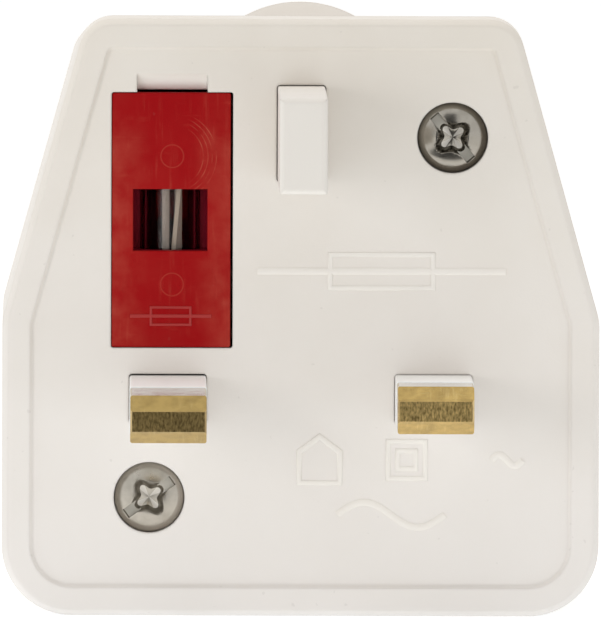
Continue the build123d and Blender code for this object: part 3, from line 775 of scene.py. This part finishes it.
def makePins():
    size = pinShape
    tipRun, corner, swell = (size[label] * mm for label in ("tipRun", "cornerRun", "sleeveSwell"))
    slope = math.tan(math.radians(size["droop"]))
    for node, (name, material, slotName) in softPins.items():
        low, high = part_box(node)
        middle = (low + high) / 2
        blade = material == pinBrass
        smooth, cutAt = (size["bladeSmooth"], low.y + corner) if blade else (size["sleeveSmooth"], None)
        mesh = softened(node, size["sleeveEdge"] * mm, smooth, lambda edge: not blade, cutAt)
        for point in mesh.vertices:
            along = point.co.y - low.y
            if blade and along < tipRun:
                # a taller flat at the end, with its two side edges taken off
                spread, inward = 1 - along / tipRun, max(0.0, 1 - along / corner)
                point.co.z += math.copysign(size["flatSpread"] * mm * spread, point.co.z - middle.z)
                point.co.x -= math.copysign(size["cornerIn"] * mm * inward, point.co.x - middle.x)
            if not blade:
                for axis in (0, 2):
                    point.co[axis] += math.copysign(swell, point.co[axis] - middle[axis])
            if node.startswith("live"):
                # the left pin hangs a little, from where it leaves the face
                point.co.z -= max(0.0, facePlane - point.co.y) * slope
        newPiece(name, mesh, material, "housing", [node])


carrierShape = {
    "windowEdge": 0.1, "windowHalf": (3.3, 2.8), "frontReach": 0.01, "smooth": 10,
    "wider": 0.14, "wallReach": 0.3,
}


def makeCarrier():
    # rounds the edges of the window and closes the gap beside the carrier a little
    size = carrierShape
    low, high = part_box("fuse_carrier")
    middle, (wide, tall) = (low + high) / 2, size["windowHalf"]

    def ofWindow(edge):
        offsets = [point.co - middle for point in edge.verts]
        inside = all(abs(offset.x) < wide * mm and abs(offset.z) < tall * mm for offset in offsets)
        return inside and all(point.co.y < low.y + size["frontReach"] * mm for point in edge.verts)

    mesh = softened("fuse_carrier", size["windowEdge"] * mm, size["smooth"], ofWindow)
    for point in mesh.vertices:
        if point.co.x > high.x - size["wallReach"] * mm:
            point.co.x += size["wider"] * mm
    newPiece("redFuseCarrier", mesh, carrierFinish, "fuse_drawer", ["fuse_carrier"])


def makeFuseStrips():
    # the strips and the strand stand a little to the right of the tube's middle
    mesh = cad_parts["fuse_wire"].data.copy()
    mesh.transform(Matrix.Translation((wireTones["shift"] * mm, 0, 0)))
    newPiece("fuseStrips", mesh, fuseWireMetal, "fuse_drawer", ["fuse_wire"])


softEnds = {
    "base_plate": ("frontShell", "housing_plastic", {"facing": -1, "band": 0.5, "cuts": 3, "share": 0.5}),
    "rear_cover": ("rearShell", "housing_plastic", {"facing": 1, "band": 2.4, "cuts": 6, "share": 1.0}),
    "earth_pin": ("topPin", "pin_plastic", {"facing": -1, "band": 0.45, "cuts": 5, "share": 1.0}),
}
endShape = {"slant": (0.55, 0.9), "moved": (0.001, 0.999), "smooth": 25}


def evenShading(mesh):
    # lets flat faces keep their own normals beside rounded edges
    holder = addObject(mesh.name, mesh)
    holder.modifiers.new("evenShading", "WEIGHTED_NORMAL").keep_sharp = True
    done = evaluatedMesh(holder)
    bpy.data.objects.remove(holder)
    return done


def roundedEnd(node, facing, band, cuts, share):
    # a copy of a solid with the slanting band round its flat end swollen to a round
    low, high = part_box(node)
    end, band = (high.y if facing > 0 else low.y), band * mm
    middle = (low + high) / 2
    mesh, work = joinedCopy(node, dropNormals=True)
    (leastSlant, mostSlant), (leastRun, mostRun) = endShape["slant"], endShape["moved"]

    def slanting():
        chosen = []
        for face in work.faces:
            spot, aside = face.calc_center_median(), face.normal.copy()
            outward = aside.x * (spot.x - middle.x) + aside.z * (spot.z - middle.z) > 0
            near = abs(end - spot.y) < band
            if near and outward and leastSlant < aside.y * facing < mostSlant:
                chosen.append(face)
        return chosen

    for step in range(1, cuts):
        parts = [part for face in slanting() for part in (face, *face.edges, *face.verts)]
        cutAcross(work, list(dict.fromkeys(parts)), end - facing * band * step / cuts)
    moves = {}
    for face in slanting():
        aside = Vector((face.normal.x, 0, face.normal.z)).normalized()
        for corner in face.loops:
            moves.setdefault(corner.vert, Vector()).xyz += aside * corner.calc_angle()
    for point, aside in moves.items():
        run = 1 - abs(end - point.co.y) / band
        if leastRun < run < mostRun:
            point.co += aside.normalized() * band * share * (run - 1 + math.sqrt(1 - run * run))
    smoothFaces(intoMesh(work, mesh), endShape["smooth"])
    return evenShading(mesh)


def makeRoundedEnds():
    for node, (name, slotName, shape) in softEnds.items():
        newPiece(name, roundedEnd(node, **shape), finishes[node], "housing", [node])


makePins()
makeCarrier()
makeFuseStrips()
makeRoundedEnds()
print("pins, carrier and shells softened")

screwSettings = {
    "headRadius": 2.92, "headHeight": 2.0, "crown": 0.85, "crownStep": 6, "seatDepth": 2.5,
    "shankRadius": 1.45, "shankLength": 14.0, "pointLength": 1.5, "pointRadius": 0.3,
    "starTop": (1.85, 1.28), "starFloor": (1.14, 0.68), "starDepth": 1.05, "starSharpness": 1.3,
    "starSteps": 96, "starOver": 0.4, "starFlare": 1.38, "dimple": 0.2,
    "slotWidth": 0.86, "slotReach": 2.6, "slotDepth": 0.62, "slotTaper": 0.3, "slotOver": 0.6,
    "softEdge": 0.03, "edgeSteps": 2, "leastTurn": 35, "margin": 0.2,
    "shortest": 0.03, "joined": 0.002, "smooth": 28,
    "floorFacing": 0.96, "floorDepth": 0.4, "deepFloor": 0.8, "wallFacing": 0.75,
    "upperTurn": 50.0, "lowerTurn": -36.0,
}
zoneMarks = {"floor": 1.0, "slot": 0.75, "wall": 0.5}


def spunMesh(name, profile, turns=72):
    # a closed form turned round the Y axis from (radius, along) points that start and end on the axis
    work = bmesh.new()
    rings = []
    for radius, along in profile:
        angles = [2 * math.pi * index / turns for index in range(turns)] if radius else [0.0]
        rings.append([work.verts.new((radius * math.cos(a), along, radius * math.sin(a))) for a in angles])
    for first, second in zip(rings, rings[1:]):
        for index in range(turns):
            after = index + 1
            corners = [first[index % len(first)], first[after % len(first)]]
            corners += [second[after % len(second)], second[index % len(second)]]
            work.faces.new(list(dict.fromkeys(corners)))
    bmesh.ops.recalc_face_normals(work, faces=work.faces)
    return intoMesh(work, bpy.data.meshes.new(name))


def starMesh():
    # four-lobed driver recess that narrows towards its floor
    size = screwSettings
    count, front = size["starSteps"], -size["headHeight"]
    (topLobe, topWaist), (floorLobe, floorWaist) = size["starTop"], size["starFloor"]
    work = bmesh.new()
    rings = []
    for along, share in ((front - size["starOver"], size["starFlare"]), (front + size["starDepth"], 0.0)):
        lobe, waist = floorLobe + (topLobe - floorLobe) * share, floorWaist + (topWaist - floorWaist) * share
        ring = []
        for index in range(count):
            turn = 2 * math.pi * index / count
            bulge = (math.cos(4 * turn) * 0.5 + 0.5) ** size["starSharpness"]
            radius = waist + (lobe - waist) * bulge
            ring.append(work.verts.new((radius * math.cos(turn), along, radius * math.sin(turn))))
        rings.append(ring)
    for index in range(count):
        after = (index + 1) % count
        work.faces.new((rings[0][index], rings[0][after], rings[1][after], rings[1][index]))
    work.faces.new(rings[0])
    deepest = work.verts.new((0, front + size["starDepth"] + size["dimple"], 0))
    for index in range(count):
        work.faces.new((rings[1][index], rings[1][(index + 1) % count], deepest))
    bmesh.ops.recalc_face_normals(work, faces=work.faces)
    return intoMesh(work, bpy.data.meshes.new("starCutter"))


def slotMesh():
    size = screwSettings
    work = bmesh.new()
    bmesh.ops.create_cube(work, size=1.0)
    for corner in work.verts:
        deep = corner.co.y > 0
        reach = size["slotReach"] - (size["slotTaper"] if deep else -size["slotTaper"])
        along = (size["slotDepth"] if deep else -size["slotOver"]) - size["headHeight"]
        side = math.copysign(size["slotWidth"] / 2, corner.co.z)
        corner.co = (math.copysign(reach, corner.co.x), along, side)
    return intoMesh(work, bpy.data.meshes.new("slotCutter"))


def roundRecess(mesh):
    # takes the sharpness off the edges that the driver has cut
    size = screwSettings
    reach, least = size["slotReach"] + size["margin"], math.radians(size["leastTurn"])

    def ofRecess(edge):
        spots = [point.co for point in edge.verts]
        return all(spot.y < -size["margin"] and math.hypot(spot.x, spot.z) < reach for spot in spots)

    work = bmesh.new()
    work.from_mesh(mesh)
    paired = [edge for edge in work.edges if len(edge.link_faces) == 2]
    cut = [edge for edge in paired if edge.calc_face_angle_signed(0) > least and ofRecess(edge)]
    roundEdges(work, cut, size["softEdge"], size["edgeSteps"], False)
    cleaned(intoMesh(work, mesh), size["joined"])


def markZones(mesh):
    # tells the finish which faces are walls and floors of the recess
    size = screwSettings
    zone = mesh.attributes.new("zone", "FLOAT", "FACE")
    for face, mark in zip(mesh.polygons, zone.data):
        middle, facing = face.center, -face.normal.y
        depth, far = middle.y + size["headHeight"], math.hypot(middle.x, middle.z)
        if middle.y >= 0 or far >= size["slotReach"]:
            continue
        if facing > size["floorFacing"] and depth > size["floorDepth"]:
            mark.value = zoneMarks["floor" if depth > size["deepFloor"] else "slot"]
        elif facing < size["wallFacing"]:
            mark.value = zoneMarks["wall"]


def makeScrewMesh():
    size = screwSettings
    head, crown, tall = size["headRadius"], size["crown"], size["headHeight"]
    shank, end = size["shankRadius"], size["shankLength"]
    bends = [math.radians(angle) for angle in range(0, 91, size["crownStep"])]
    dome = [(head * math.sin(bend), crown * (1 - math.cos(bend)) - tall) for bend in bends]
    point = [(shank, end - size["pointLength"]), (size["pointRadius"], end), (0, end)]
    body = addObject("screwBlank", spunMesh("screwBlank", dome + [(head, 0), (shank, 0)] + point))
    cutters = [addObject(mesh.name, mesh) for mesh in (starMesh(), slotMesh())]
    for cutter in cutters:
        cut = body.modifiers.new(cutter.name, "BOOLEAN")
        cut.operation, cut.solver, cut.object = "DIFFERENCE", "EXACT", cutter
    done = evaluatedMesh(body)
    for scrap in (body, *cutters):
        bpy.data.objects.remove(scrap)
    cleaned(done, size["shortest"])
    roundRecess(done)
    smoothFaces(done, size["smooth"])
    markZones(done)
    done.transform(Matrix.Scale(mm, 4))
    return done


def screwTree(blank):
    tree = bpy.data.node_groups.new("screwSetting", "GeometryNodeTree")
    inputs = {"Upper Place": "Vector", "Lower Place": "Vector", "Upper Turn": "Float", "Lower Turn": "Float"}
    for label, kind in inputs.items():
        tree.interface.new_socket(label, in_out="INPUT", socket_type="NodeSocket" + kind)
    tree.interface.new_socket("Geometry", in_out="OUTPUT", socket_type="NodeSocketGeometry")
    given, out = tree.nodes.new("NodeGroupInput"), tree.nodes.new("NodeGroupOutput")
    line, index = tree.nodes.new("GeometryNodeMeshLine"), tree.nodes.new("GeometryNodeInputIndex")
    turn, angles = tree.nodes.new("ShaderNodeMix"), tree.nodes.new("ShaderNodeCombineXYZ")
    shape, spread = tree.nodes.new("GeometryNodeObjectInfo"), tree.nodes.new("GeometryNodeInstanceOnPoints")
    real, coat = tree.nodes.new("GeometryNodeRealizeInstances"), tree.nodes.new("GeometryNodeSetMaterial")
    line.mode = "END_POINTS"
    line.inputs["Count"].default_value = len(screwSpots)
    shape.inputs["Object"].default_value = blank
    coat.inputs["Material"].default_value = screwNickel
    for source, target in (
        (given.outputs["Upper Place"], line.inputs["Start Location"]),
        (given.outputs["Lower Place"], line.inputs["Offset"]),
        (index.outputs[0], turn.inputs[0]),
        (given.outputs["Upper Turn"], turn.inputs[2]),
        (given.outputs["Lower Turn"], turn.inputs[3]),
        (turn.outputs[0], angles.inputs["Y"]),
        (line.outputs["Mesh"], spread.inputs["Points"]),
        (shape.outputs["Geometry"], spread.inputs["Instance"]),
        (angles.outputs[0], spread.inputs["Rotation"]),
        (spread.outputs[0], real.inputs[0]),
        (real.outputs[0], coat.inputs["Geometry"]),
        (coat.outputs[0], out.inputs["Geometry"]),
    ):
        tree.links.new(source, target)
    return tree


def makeScrews():
    size = screwSettings
    blank = addObject("screwShape", makeScrewMesh())
    host = addObject("screwHost", bpy.data.meshes.new("screwHost"))
    tree = screwTree(blank)
    setting = host.modifiers.new("screwSetting", "NODES")
    setting.node_group = tree
    seat = rimPlane + size["seatDepth"] * mm
    upper, lower = [(across * mm, seat, up * mm) for across, up in screwSpots]
    values = {
        "Upper Place": upper, "Lower Place": lower,
        "Upper Turn": math.radians(size["upperTurn"]), "Lower Turn": math.radians(size["lowerTurn"]),
    }
    for item in tree.interface.items_tree:
        if item.in_out == "INPUT":
            setting[item.identifier] = values[item.name]
    mesh = evaluatedMesh(host)
    for helper in (host, blank):
        bpy.data.objects.remove(helper)
    newPiece("coverScrews", mesh, screwNickel, "housing", ["housing_screws"])


makeScrews()
print("screws cut")

raisedSigns = {
    "stroke": 0.3, "proud": 0.11,
    "fuseAt": (6.75, 28.9), "fuseBox": (8.6, 2.8), "fuseReach": 10.4,
    "houseAt": (1.6, 13.1), "houseSize": (3.4, 2.6, 1.3),
    "squareAt": (8.9, 13.1), "squareSides": (3.1, 1.5),
    "waves": [((17.3, 13.1), 2.6, 0.45), ((7.6, 8.5), 9.0, 1.05)], "waveSteps": 36,
}
carrierSign = {
    "stroke": 0.16, "proud": 0.09, "fuseAt": (-10.9, 25.1), "fuseBox": (3.3, 1.45), "fuseReach": 3.4,
}
signShape = {"roundness": 3, "gap": 1e-7, "smooth": 60}


def boxPath(at, wide, tall):
    return [(at[0] + x * wide / 2, at[1] + z * tall / 2) for x, z in ((-1, -1), (1, -1), (1, 1), (-1, 1))]


def fusePaths(settings):
    (x, z), reach = settings["fuseAt"], settings["fuseReach"]
    return [(boxPath((x, z), *settings["fuseBox"]), True), ([(x - reach, z), (x + reach, z)], False)]


def facePaths():
    # plain signs for a fuse, for use indoors, for a doubly insulated body and for mains current
    signs = raisedSigns
    x, z = signs["houseAt"]
    wide, wall, roof = signs["houseSize"]
    left, right = x - wide / 2, x + wide / 2
    foot, eaves = z - (wall + roof) / 2, z + (wall - roof) / 2
    house = [(left, foot), (right, foot), (right, eaves), (x, eaves + roof), (left, eaves)]
    squares = [(boxPath(signs["squareAt"], side, side), True) for side in signs["squareSides"]]
    paths = fusePaths(signs) + [(house, True)] + squares
    shares = [step / signs["waveSteps"] for step in range(signs["waveSteps"] + 1)]
    for (x, z), wide, tall in signs["waves"]:
        wave = [(x + wide * (share - 0.5), z + tall * math.sin(2 * math.pi * share)) for share in shares]
        paths.append((wave, False))
    return paths


def makeSigns(name, settings, paths, plane, material, body):
    curve = bpy.data.curves.new(name, "CURVE")
    curve.dimensions = "3D"
    curve.bevel_depth, curve.bevel_resolution = settings["stroke"] * mm, signShape["roundness"]
    curve.use_fill_caps = True
    for points, closed in paths:
        stroke = curve.splines.new("POLY")
        stroke.points.add(len(points) - 1)
        stroke.use_cyclic_u = closed
        for point, (across, up) in zip(stroke.points, points):
            point.co = (across * mm, 0, up * mm, 1)
    drawn = addObject(name, curve)
    mesh = evaluatedMesh(drawn)
    bpy.data.objects.remove(drawn)
    for point in mesh.vertices:
        point.co.y = plane + point.co.y * settings["proud"] / settings["stroke"]
    cleaned(mesh, signShape["gap"])
    smoothFaces(mesh, signShape["smooth"])
    newPiece(name, mesh, material, body)


makeSigns("faceSigns", raisedSigns, facePaths(), facePlane, signWhite, "housing")
makeSigns(
    "carrierFuseSign", carrierSign, fusePaths(carrierSign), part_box("fuse_carrier")[0].y, carrierSignRed,
    "fuse_drawer")
print("signs raised")
